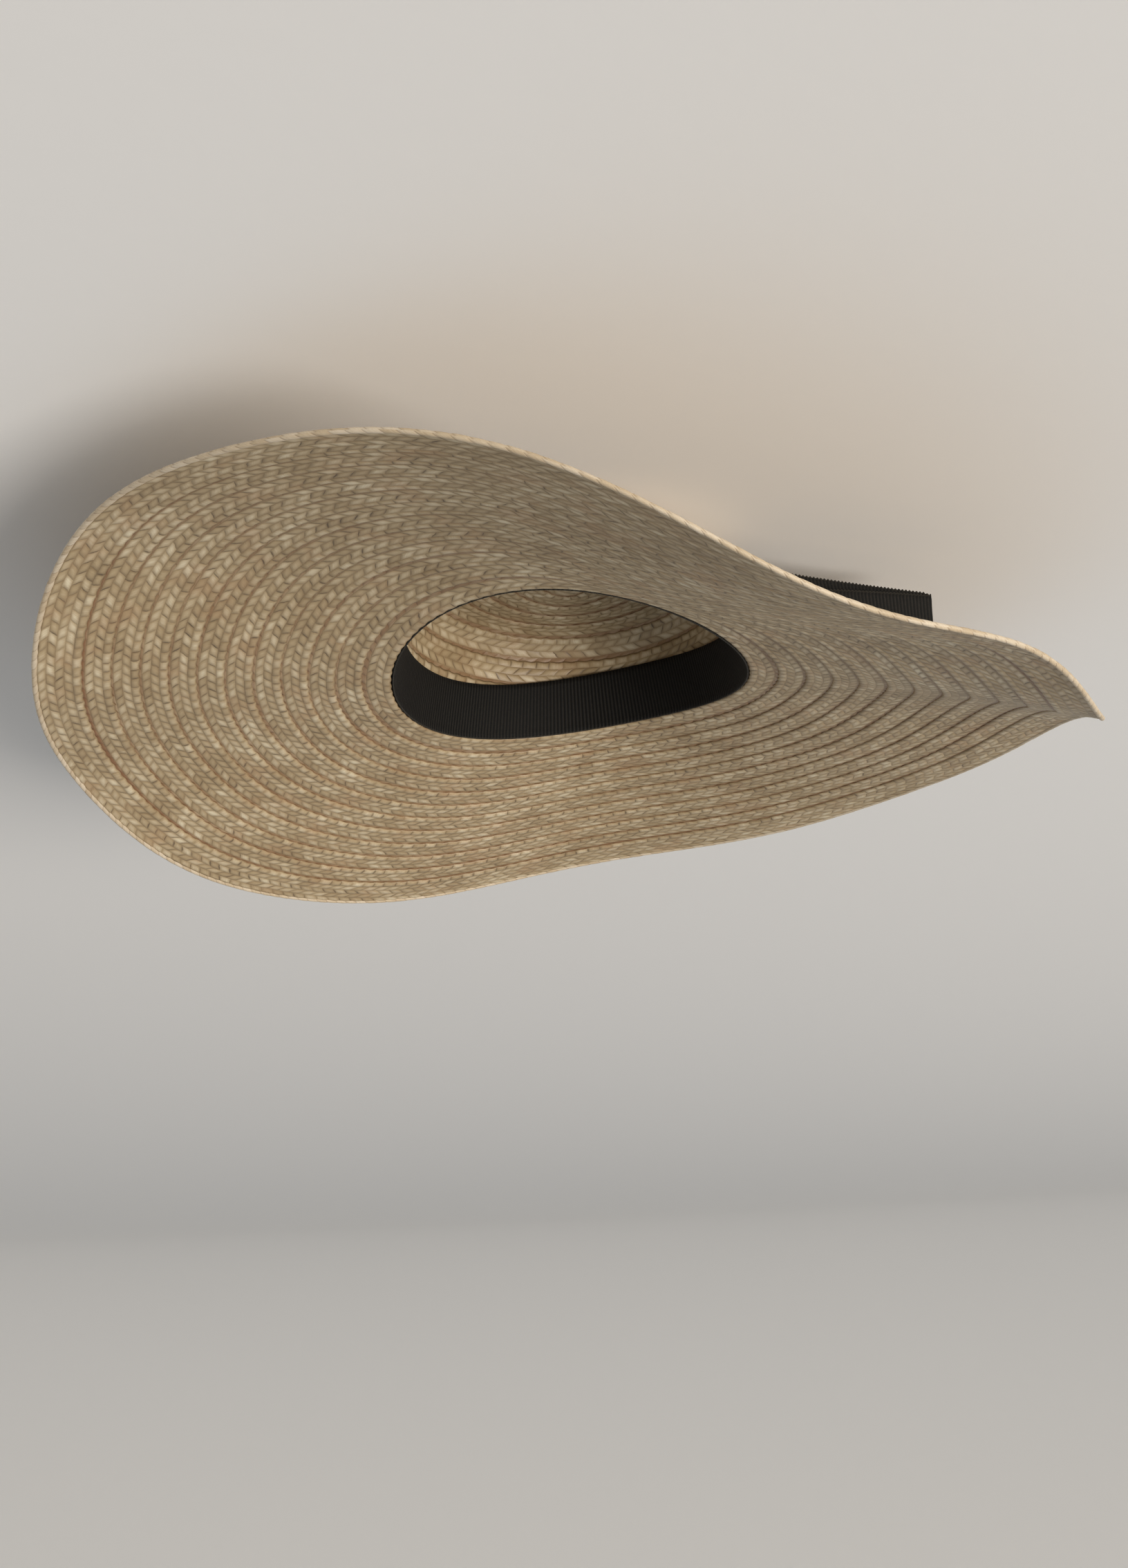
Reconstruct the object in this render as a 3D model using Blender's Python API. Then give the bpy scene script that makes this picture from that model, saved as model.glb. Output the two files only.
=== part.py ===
# A wide-brimmed straw picture hat, set down on the flat tip of its crown.
#
# The head side of the brim faces up, the wearer's face side is at -Y and the
# wearer's right is at +X. Z is 0 on the floor under the tip of the crown.
# All lengths are in metres.

import math

import bmesh
import bpy
import numpy as np

# Head opening and crown
HEAD_HALF_WIDTH = 0.081
HEAD_HALF_LENGTH = 0.0945
CROWN_DEPTH = 0.053
CROWN_WALL = 0.0016
CROWN_TAPER = 0.007
SHOULDER_RADIUS = 0.018
TIP_THICKNESS = 0.0018
CROWN_ROW = 0.012

# The opening is a little twisted: its height swings twice in one turn.
OPENING_SWING = 0.0059
OPENING_SWING_TURN = 21.5

# Brim: the length runs along the straw, from the opening to the outer edge.
BRIM_LENGTH = 0.1527
FIRST_ROW = 0.0129
BRIM_ROW = 0.012
ROW_STEP = 0.001
BRIM_WALL = 0.0012

# Wired edge
EDGE_THICKNESS = 0.0021

# Black ribbons
RIBBON_THICKNESS = 0.0008
SWEATBAND_WIDTH = 0.027
HATBAND_WIDTH = 0.028
LOOP_LENGTH = 0.0934
LOOP_SPREAD = 0.0055
LOOP_FRONT_LIFT = 0.0
LOOP_FRONT_TIP_LIFT = 0.0070
LOOP_BACK_LIFT = 0.0108
LOOP_BACK_TIP_LIFT = 0.0098
LOOP_SWING = -45.0
KNOT_TURN = 200.0
KNOT_WIDTH = 0.014
KNOT_HEIGHT = 0.037
KNOT_DEPTH = 0.0045
KNOT_BEVEL = 0.0012

# Space left between pieces that touch
GAP = 0.0003
SWEATBAND_GAP = 0.0005

SEGMENTS = 64

# How the brim is shaped. The columns are the turn from +X towards +Y, the slope
# at the head opening and the slope at the edge, in degrees, rising outwards.
BRIM_SHAPE = (
    (0.0, 3.0, 16.5),
    (22.5, 9.5, 24.0),
    (45.0, 15.5, 26.0),
    (67.5, 16.0, 22.0),
    (90.0, 9.5, 15.5),
    (112.5, 9.0, 13.0),
    (135.0, 11.0, 6.0),
    (157.5, 9.5, 4.5),
    (180.0, 10.5, 11.0),
    (202.5, 17.0, 22.5),
    (225.0, 18.5, 21.4),
    (247.5, 20.0, 22.0),
    (270.0, 4.5, 9.0),
    (292.5, -9.0, 6.5),
    (315.0, -11.5, 6.0),
    (337.5, -3.5, 13.5),
)

TURN = np.arange(SEGMENTS) * 2 * math.pi / SEGMENTS


def around(column, turn):
    """Smooth periodic curve through one column of BRIM_SHAPE, in radians."""
    values = np.radians([row[column] for row in BRIM_SHAPE])
    waves = np.fft.rfft(values) / len(values)
    half = len(values) // 2
    total = waves[0].real + waves[half].real * np.cos(half * turn)
    for order in range(1, half):
        total = total + 2 * (waves[order] * np.exp(1j * order * turn)).real
    return total


def outward(turn):
    """Point of the head opening and the direction square to it, in plan."""
    point = np.stack([HEAD_HALF_WIDTH * np.cos(turn), HEAD_HALF_LENGTH * np.sin(turn)], -1)
    normal = np.stack([np.cos(turn) / HEAD_HALF_WIDTH, np.sin(turn) / HEAD_HALF_LENGTH], -1)
    return point, normal / np.linalg.norm(normal, axis=-1, keepdims=True)


def ring(offset, height, turn=TURN):
    """Points that lie a distance outside the head opening, at a height."""
    point, normal = outward(turn)
    plan = point + normal * np.broadcast_to(offset, np.shape(turn))[..., None]
    return np.concatenate([plan, np.broadcast_to(height, np.shape(turn))[..., None]], -1)


def opening_height(turn=TURN):
    """Height of the head opening above the floor."""
    swing = np.cos(2 * (turn - math.radians(OPENING_SWING_TURN)))
    return CROWN_DEPTH + OPENING_SWING * swing


def brim_ring(length, lift, turn=TURN):
    """Points on the brim: a length along the straw, a lift off its head side."""
    root = around(1, turn)
    slope = root + (around(2, turn) - root) * length / BRIM_LENGTH
    mean, half = (root + slope) / 2, (slope - root) / 2
    chord = length * np.sinc(half / math.pi)
    offset = chord * np.cos(mean) - lift * np.sin(slope)
    return ring(offset, opening_height(turn) + chord * np.sin(mean) + lift * np.cos(slope), turn)


def crown_top(turn=TURN):
    """Height of the crown's edge, just under the inner end of the brim."""
    reach = CROWN_WALL + ROW_STEP
    dip = np.minimum(0.0, np.tan(around(1, turn))) * reach
    return opening_height(turn) - BRIM_WALL - ROW_STEP / 2 - GAP + dip


def crown_offset(share):
    """Offset of the crown's inner face at a share of its straight side."""
    return -CROWN_TAPER * (1 - share)


def side_share(height, turn=TURN):
    """Share of the straight side that lies under a height."""
    return (height - SHOULDER_RADIUS) / (crown_top(turn) - SHOULDER_RADIUS)


def new_object(name, vertices, faces, colour, roughness):
    """One closed object with its own material."""
    mesh = bpy.data.meshes.new(name)
    shape = bmesh.new()
    made = [shape.verts.new(point) for point in vertices]
    for face in faces:
        shape.faces.new([made[index] for index in face])
    bmesh.ops.recalc_face_normals(shape, faces=shape.faces)
    shape.to_mesh(mesh)
    shape.free()
    mesh.shade_smooth()
    mesh.set_sharp_from_angle(angle=math.radians(35))
    material = bpy.data.materials.new(name + "_material")
    material.use_nodes = True
    shader = material.node_tree.nodes["Principled BSDF"]
    shader.inputs["Base Color"].default_value = (*colour, 1.0)
    shader.inputs["Roughness"].default_value = roughness
    shader.inputs["Metallic"].default_value = 0.0
    mesh.materials.append(material)
    obj = bpy.data.objects.new(name, mesh)
    bpy.context.collection.objects.link(obj)
    return obj


def band_faces(loops, count, closed):
    """Four-sided faces between neighbouring loops of points."""
    last = loops if closed else loops - 1
    faces = []
    for loop in range(last):
        above = (loop + 1) % loops
        for step in range(count):
            after = (step + 1) % count
            faces.append((loop * count + step, loop * count + after,
                          above * count + after, above * count + step))
    return faces


def hoop(name, loops, colour, roughness):
    """A closed hoop: the loops follow its section all the way round."""
    points = np.concatenate(loops)
    return new_object(name, points, band_faces(len(loops), SEGMENTS, True), colour, roughness)


def row_starts():
    """Where each plait row of the brim begins, and where the last one ends."""
    end = BRIM_LENGTH - EDGE_THICKNESS - GAP
    starts = [0.0, FIRST_ROW]
    while end - starts[-1] > 1.5 * BRIM_ROW:
        starts.append(starts[-1] + BRIM_ROW)
    return starts, end


def make_brim():
    """Sewn plait rows: each row's inner edge lies over the row before it."""
    starts, end = row_starts()
    high, low = ROW_STEP / 2, -ROW_STEP / 2
    profile = []
    for start, stop in zip(starts, starts[1:] + [end]):
        profile.append((start, high))
        profile.append((stop - (GAP if stop < end else 0.0), low))
    for share in np.linspace(1, 0, 7):
        profile.append((end * share, low - BRIM_WALL))
    loops = [brim_ring(length, lift) for length, lift in profile]
    return hoop("brim", loops, (0.50, 0.39, 0.23), 0.62)


def make_wired_edge():
    """Round wired edge around the brim."""
    radius = EDGE_THICKNESS / 2
    middle = -BRIM_WALL / 2 - ROW_STEP / 2
    loops = []
    for corner in range(8):
        angle = 2 * math.pi * (corner + 0.5) / 8
        loops.append(brim_ring(BRIM_LENGTH - radius + radius * math.cos(angle),
                               middle + radius * math.sin(angle)))
    return hoop("wired_edge", loops, (0.74, 0.60, 0.37), 0.50)


def make_crown():
    """Cup of sewn plait: stepped outside, plain inside, flat oval tip."""
    top = crown_top()
    side = top - SHOULDER_RADIUS
    rows = max(2, round((CROWN_DEPTH - SHOULDER_RADIUS) / CROWN_ROW))
    loops = []
    for row in range(rows, 0, -1):
        upper, lower = row / rows, (row - 1) / rows
        loops.append(ring(crown_offset(upper) + CROWN_WALL, SHOULDER_RADIUS + side * upper))
        loops.append(ring(crown_offset(lower) + CROWN_WALL + ROW_STEP,
                          SHOULDER_RADIUS + side * (lower + 0.0004 / CROWN_DEPTH)))
    for angle in np.radians((0, 25, 50, 75, 90)):
        loops.append(ring(crown_offset(0) + CROWN_WALL - SHOULDER_RADIUS * (1 - math.cos(angle)),
                          SHOULDER_RADIUS * (1 - math.sin(angle))))
    inner_radius = SHOULDER_RADIUS - CROWN_WALL
    floor = TIP_THICKNESS
    for angle in np.radians((90, 60, 30, 0)):
        loops.append(ring(crown_offset(0) - inner_radius * (1 - math.cos(angle)),
                          floor + inner_radius * (1 - math.sin(angle))))
    for share in (0.35, 0.7, 1.0):
        loops.append(ring(crown_offset(share), SHOULDER_RADIUS + side * share))
    outer_tip = rows * 2 + 4
    inner_tip = outer_tip + 1
    count = SEGMENTS
    faces = [face for face in band_faces(len(loops), count, True)
             if not (outer_tip * count <= face[0] < inner_tip * count)]
    faces.append([outer_tip * count + step for step in range(count)])
    faces.append([inner_tip * count + step for step in range(count)])
    return new_object("crown", np.concatenate(loops), faces, (0.50, 0.39, 0.23), 0.62)


def make_sweatband():
    """Black ribbon inside the crown, level with the head opening."""
    top = opening_height()
    bottom = top - SWEATBAND_WIDTH
    upper = np.full(SEGMENTS, -SWEATBAND_GAP)
    lower = crown_offset(side_share(bottom)) - SWEATBAND_GAP
    loops = [ring(upper, top), ring(lower, bottom),
             ring(lower - RIBBON_THICKNESS, bottom), ring(upper - RIBBON_THICKNESS, top)]
    return hoop("sweatband", loops, (0.012, 0.011, 0.010), 0.75)


def hatband_edges(turn=TURN):
    """Heights of the hatband's two edges, next to the brim and towards the tip."""
    near = crown_top(turn) - GAP - RIBBON_THICKNESS
    return near, near - HATBAND_WIDTH


def hatband_offset(height, turn=TURN):
    """Offset of the hatband's inner face, clear of the plait rows."""
    return crown_offset(side_share(height, turn)) + CROWN_WALL + ROW_STEP + GAP


def make_hatband():
    """Black ribbon around the outside of the crown, next to the brim."""
    near, far = hatband_edges()
    upper, lower = hatband_offset(near), hatband_offset(far)
    loops = [ring(upper, near), ring(upper + RIBBON_THICKNESS, near),
             ring(lower + RIBBON_THICKNESS, far), ring(lower, far)]
    return hoop("hatband", loops, (0.012, 0.011, 0.010), 0.75)


def knot_place():
    """Top of the knot's back face, its outward angle, its lean and the band's far edge."""
    turn = np.array([math.radians(KNOT_TURN)])
    near, far = hatband_edges(turn)
    clear = hatband_offset(near, turn) + RIBBON_THICKNESS + GAP
    lean = math.atan2(float(clear[0] - (hatband_offset(far, turn) + RIBBON_THICKNESS + GAP)[0]),
                      HATBAND_WIDTH)
    normal = outward(turn)[1][0]
    return ring(clear, near, turn)[0], math.atan2(normal[1], normal[0]), lean, float(far[0])


def make_knot():
    """Wrap of ribbon that holds the loop on the hatband, leaning with the crown's side."""
    point, angle, lean, far = knot_place()
    shape = bmesh.new()
    bmesh.ops.create_cube(shape, size=1.0)
    bmesh.ops.scale(shape, vec=(KNOT_DEPTH, KNOT_WIDTH, KNOT_HEIGHT), verts=shape.verts)
    bmesh.ops.bevel(shape, geom=shape.edges[:], offset=KNOT_BEVEL, segments=2,
                    profile=0.5, affect="EDGES")
    shape.verts.index_update()
    points = [vertex.co.copy() for vertex in shape.verts]
    faces = [[vertex.index for vertex in face.verts] for face in shape.faces]
    shape.free()
    knot = new_object("bow_knot", points, faces, (0.012, 0.011, 0.010), 0.75)
    reach = KNOT_DEPTH / 2 * math.cos(lean) - KNOT_HEIGHT / 2 * math.sin(lean)
    drop = KNOT_DEPTH / 2 * math.sin(lean) + KNOT_HEIGHT / 2 * math.cos(lean)
    knot.location = (point[0] + reach * math.cos(angle), point[1] + reach * math.sin(angle),
                     point[2] - drop)
    knot.rotation_euler = (0.0, lean, angle)
    return knot


def loop_path():
    """The loop's two layers in plan, their lower edge and how far that edge leans in."""
    point, angle, lean, far = knot_place()
    outwards = np.array([math.cos(angle), math.sin(angle)])
    start = point[:2] + (KNOT_DEPTH / math.cos(lean) + GAP) * outwards
    heading = angle + math.radians(LOOP_SWING)
    along = np.array([math.cos(heading), math.sin(heading)])
    across = np.array([-along[1], along[0]])
    fold = LOOP_SPREAD * 0.35
    root = RIBBON_THICKNESS
    swing = math.radians(LOOP_SWING)

    def root_end(spread, lift):
        """Where a layer begins, so that its slanted end just clears the leaning knot."""
        clear = math.sin(swing) * (spread - RIBBON_THICKNESS / 2) - lift * math.tan(lean)
        return clear / math.cos(swing)

    straight = LOOP_LENGTH - fold
    steps = np.linspace(0, 1, 9)
    path = []
    for share in steps:
        spread = root + (fold - root) * share + LOOP_SPREAD / 4 * math.sin(math.pi * share)
        lift = LOOP_FRONT_LIFT + (LOOP_FRONT_TIP_LIFT - LOOP_FRONT_LIFT) * share
        begin = root_end(root, LOOP_FRONT_LIFT)
        path.append((begin + (straight - begin) * share, spread, lift, 1 - share))
    for turn in np.radians((30, 60, 90, 120, 150)):
        lift = LOOP_FRONT_TIP_LIFT + (LOOP_BACK_TIP_LIFT - LOOP_FRONT_TIP_LIFT) * turn / math.pi
        path.append((straight + fold * math.sin(turn), fold * math.cos(turn), lift, 0.0))
    for share in steps[::-1]:
        spread = root + (fold - root) * share + LOOP_SPREAD / 4 * math.sin(math.pi * share)
        lift = LOOP_BACK_LIFT + (LOOP_BACK_TIP_LIFT - LOOP_BACK_LIFT) * share
        begin = root_end(-root, LOOP_BACK_LIFT)
        path.append((begin + (straight - begin) * share, -spread, lift, 1 - share))
    plan = np.array([start + along * u + across * v for u, v, lift, inward in path])
    edge = np.array([far - lift for u, v, lift, inward in path])
    inward = np.array([row[3] for row in path])[:, None] * -math.tan(lean) * HATBAND_WIDTH
    return plan, edge, inward * outwards


def make_loop():
    """One folded loop of ribbon that stands out from the knot."""
    plan, edge, inward = loop_path()
    heading = np.gradient(plan, axis=0)
    heading /= np.linalg.norm(heading, axis=1, keepdims=True)
    side = np.stack([-heading[:, 1], heading[:, 0]], 1) * RIBBON_THICKNESS / 2
    points = []
    for middle, shift, low, lean_in in zip(plan, side, edge, inward):
        inner, outer = middle + shift, middle - shift
        points += [(*(inner + lean_in), low), (*(outer + lean_in), low),
                   (*outer, low + HATBAND_WIDTH), (*inner, low + HATBAND_WIDTH)]
    count = len(plan)
    faces = []
    for step in range(count - 1):
        for corner in range(4):
            after = (corner + 1) % 4
            faces.append((step * 4 + corner, step * 4 + after,
                          step * 4 + 4 + after, step * 4 + 4 + corner))
    faces.append((0, 1, 2, 3))
    faces.append(tuple((count - 1) * 4 + corner for corner in range(4)))
    return new_object("bow_loop", points, faces, (0.012, 0.011, 0.010), 0.75)


def main():
    for obj in list(bpy.data.objects):
        bpy.data.objects.remove(obj, do_unlink=True)
    make_crown()
    make_brim()
    make_wired_edge()
    make_sweatband()
    make_hatband()
    make_knot()
    make_loop()


main()
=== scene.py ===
import math
import bpy
import numpy as np
from mathutils import Matrix, Vector


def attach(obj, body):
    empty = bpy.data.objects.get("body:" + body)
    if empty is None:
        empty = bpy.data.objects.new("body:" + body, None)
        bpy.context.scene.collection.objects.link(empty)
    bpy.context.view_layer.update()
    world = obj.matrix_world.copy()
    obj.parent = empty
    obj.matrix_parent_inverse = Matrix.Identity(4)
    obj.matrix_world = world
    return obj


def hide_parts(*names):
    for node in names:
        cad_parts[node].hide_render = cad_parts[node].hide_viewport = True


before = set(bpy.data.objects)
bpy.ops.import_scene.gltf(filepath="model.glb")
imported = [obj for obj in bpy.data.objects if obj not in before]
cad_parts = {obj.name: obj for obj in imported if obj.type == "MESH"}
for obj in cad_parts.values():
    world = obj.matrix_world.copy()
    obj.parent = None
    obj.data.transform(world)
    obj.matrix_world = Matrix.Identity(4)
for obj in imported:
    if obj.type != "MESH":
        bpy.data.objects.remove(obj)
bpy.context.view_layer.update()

# sizes that the solids have too, in metres, and one turn in degrees
hat = {
    "headHalfWidth": 0.081, "headHalfLength": 0.0945, "crownDepth": 0.053,
    "crownWall": 0.0016, "crownTaper": 0.007, "shoulderRadius": 0.018, "tipThickness": 0.0018,
    "openingSwing": 0.0059, "openingSwingTurn": 21.5, "brimLength": 0.1527, "firstRow": 0.0129,
    "rowWidth": 0.012, "rowStep": 0.001, "brimWall": 0.0012, "edgeThickness": 0.0021,
    "ribbonThickness": 0.0008, "sweatbandWidth": 0.027, "hatbandWidth": 0.028, "gap": 0.0003,
}

# turn from +X towards +Y, slope at the head opening, slope at the edge, in degrees
brimShape = (
    (0.0, 3.0, 16.5), (22.5, 9.5, 24.0), (45.0, 15.5, 26.0), (67.5, 16.0, 22.0),
    (90.0, 9.5, 15.5), (112.5, 9.0, 13.0), (135.0, 11.0, 6.0), (157.5, 9.5, 4.5),
    (180.0, 10.5, 11.0), (202.5, 17.0, 22.5), (225.0, 18.5, 21.4), (247.5, 20.0, 22.0),
    (270.0, 4.5, 9.0), (292.5, -9.0, 6.5), (315.0, -11.5, 6.0), (337.5, -3.5, 13.5),
)


def around(column, turn):  # smooth closed curve through one column of the table
    values = np.radians([row[column] for row in brimShape])
    waves = np.fft.rfft(values) / len(values)
    half = len(values) // 2
    total = waves[0].real + waves[half].real * np.cos(half * turn)
    for order in range(1, half):
        total = total + 2 * (waves[order] * np.exp(1j * order * turn)).real
    return total


def ring(offset, height, turn):  # points a distance outside the head opening
    a, b = hat["headHalfWidth"], hat["headHalfLength"]
    nx, ny = np.cos(turn) / a, np.sin(turn) / b
    size = np.hypot(nx, ny)
    return np.stack(np.broadcast_arrays(a * np.cos(turn) + nx / size * offset,
                                        b * np.sin(turn) + ny / size * offset, height), -1)


def openingHeight(turn):
    swing = np.cos(2 * (turn - math.radians(hat["openingSwingTurn"])))
    return hat["crownDepth"] + hat["openingSwing"] * swing


def brimPlace(length, lift, turn):  # length along the straw, lift off the head side
    root = around(1, turn)
    slope = root + (around(2, turn) - root) * length / hat["brimLength"]
    mean, half = (root + slope) / 2, (slope - root) / 2
    chord = length * np.sinc(half / math.pi)
    offset = chord * np.cos(mean) - lift * np.sin(slope)
    return ring(offset, openingHeight(turn) + chord * np.sin(mean) + lift * np.cos(slope), turn)


def crownTop(turn):
    dip = np.minimum(0.0, np.tan(around(1, turn))) * (hat["crownWall"] + hat["rowStep"])
    return openingHeight(turn) - hat["brimWall"] - hat["rowStep"] / 2 - hat["gap"] + dip


def sideShare(height, turn):
    return (height - hat["shoulderRadius"]) / (crownTop(turn) - hat["shoulderRadius"])


# path up the middle of the crown's wall: flat tip, shoulder, side
crownPath = {"centre": 0.0110, "flat": 0.0430, "side": 0.0330, "middle": 0.0011,
             "below": 0.0004, "spine": 0.012}


def crownPlace(length, lift, turn):  # length from the middle of the tip, lift towards the head
    length, lift, turn = np.broadcast_arrays(length, lift, turn)
    bend = hat["shoulderRadius"] - hat["tipThickness"] / 2
    arc = bend * math.pi / 2
    foot = -hat["crownTaper"] + crownPath["middle"]
    flatEnd = crownPath["centre"] + crownPath["flat"]
    angle = np.clip((length - flatEnd) / bend, 0, math.pi / 2)
    share = np.clip((length - flatEnd - arc) / crownPath["side"], 0, 1)
    top = crownTop(turn) - crownPath["below"]
    offset = foot - bend * (1 - np.sin(angle)) + hat["crownTaper"] * share
    offset = offset - np.clip(flatEnd - length, 0, crownPath["flat"])
    height = hat["shoulderRadius"] - bend * np.cos(angle) + (top - hat["shoulderRadius"]) * share
    points = ring(offset - lift * np.sin(angle), height + lift * np.cos(angle), turn)
    inner = np.clip(length / crownPath["centre"], 0, 1)[..., None]
    spine = points.copy()  # the first turn closes on a short line in the middle of the tip
    spine[..., 0] = 0.0
    spine[..., 1] = np.clip(points[..., 1], -crownPath["spine"], crownPath["spine"])
    return spine + (points - spine) * inner


def srgb(code):  # hex colour to linear
    parts = [int(code[i:i + 2], 16) / 255 for i in (1, 3, 5)]
    return tuple(c / 12.92 if c <= 0.04045 else ((c + 0.055) / 1.055) ** 2.4 for c in parts) + (1.0,)


def addNode(tree, kind, settings=None, inputs=(), output=0):  # settings may be an operation's name
    node = tree.nodes.new("ShaderNode" + kind)
    if isinstance(settings, str):
        settings = {"operation": settings}
    for name, value in (settings or {}).items():
        setattr(node, name, value)
    for key, value in (inputs.items() if isinstance(inputs, dict) else enumerate(inputs)):
        if isinstance(value, bpy.types.NodeSocket):
            tree.links.new(value, node.inputs[key])
        else:
            node.inputs[key].default_value = value
    return node.outputs[output]


def setRamp(socket, stops):
    ramp = socket.node.color_ramp
    while len(ramp.elements) < len(stops):
        ramp.elements.new(0.5)
    for element, (place, colour) in zip(ramp.elements, stops):
        element.position, element.color = place, srgb(colour)


def newMaterial(name):
    material = bpy.data.materials.new(name)
    material.use_nodes = True
    return material, material.node_tree, material.node_tree.nodes["Principled BSDF"]


# plaited natural wheat straw, split flat, sewn in rows and lightly lacquered: pale tan floats
# that cross, each a little different, fine fibres along the straw, a soft gloss; a painted highlight
# on each float's middle, painted shade round the floats, near-black painted shade in a few slits
# between straws and brown painted shade in the line where one row lies over the next
straw = {
    "pitch": 7.05, "column": 3.6, "slant": 0.52,  # mm along a row, mm across, turn of the floats
    "wander": (0.6, 0.24, 1.0), "drift": 0.34, "stray": 1.1,  # how far they stray, in pitches and mm
    "gapPower": 8.0, "roundPower": 2.2,  # how narrow the gaps are and how flat the floats
    "fibresPerStraw": 14.0, "patchesPerMetre": 30.0, "tansPerMetre": 55.0,
    # parts of the tone: the straw's own, broad patches, fibres, and a painted highlight on the
    # float's raised middle
    "ownTone": 0.41, "patchTone": 0.55, "fibreTone": 0.50, "middleHighlight": 0.40,
    "toneStart": 0.02, "toneDrop": 0.45,
    "tones": ((0.0, "#86704F"), (0.3, "#A08A68"), (0.55, "#B19C79"), (0.78, "#C4B292"),
              (1.0, "#DDD0B2")),
    # the gap, slit and crevice colours are painted shade, laid over the straw's own tone
    "tanTone": "#AD8964", "gapShadeColour": "#75593C", "slitShadeColour": "#2E2117", "creviceShadeColour": "#805A3A",
    "gap": 0.13, "slitShade": 0.85, "slitRange": (0.68, 0.80), "tan": 0.30, "tanRange": (0.5, 0.72),
    # painted shade in the line beside the next row's selvage: how strong, mm from this row's selvage,
    # how uneven
    "creviceShade": 0.66, "outerCreviceShade": 0.95, "creviceRange": (11.5, 12.3), "creviceWiden": 1.2,
    "creviceUneven": 1.2,
    "leastRoughness": 0.30, "fibreRoughness": 0.3,
    "bump": 0.48, "bumpDepth": 0.0004, "lapHeight": 0.3, "fibreHeight": 0.22, "gapHeight": -0.35,
}


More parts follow.
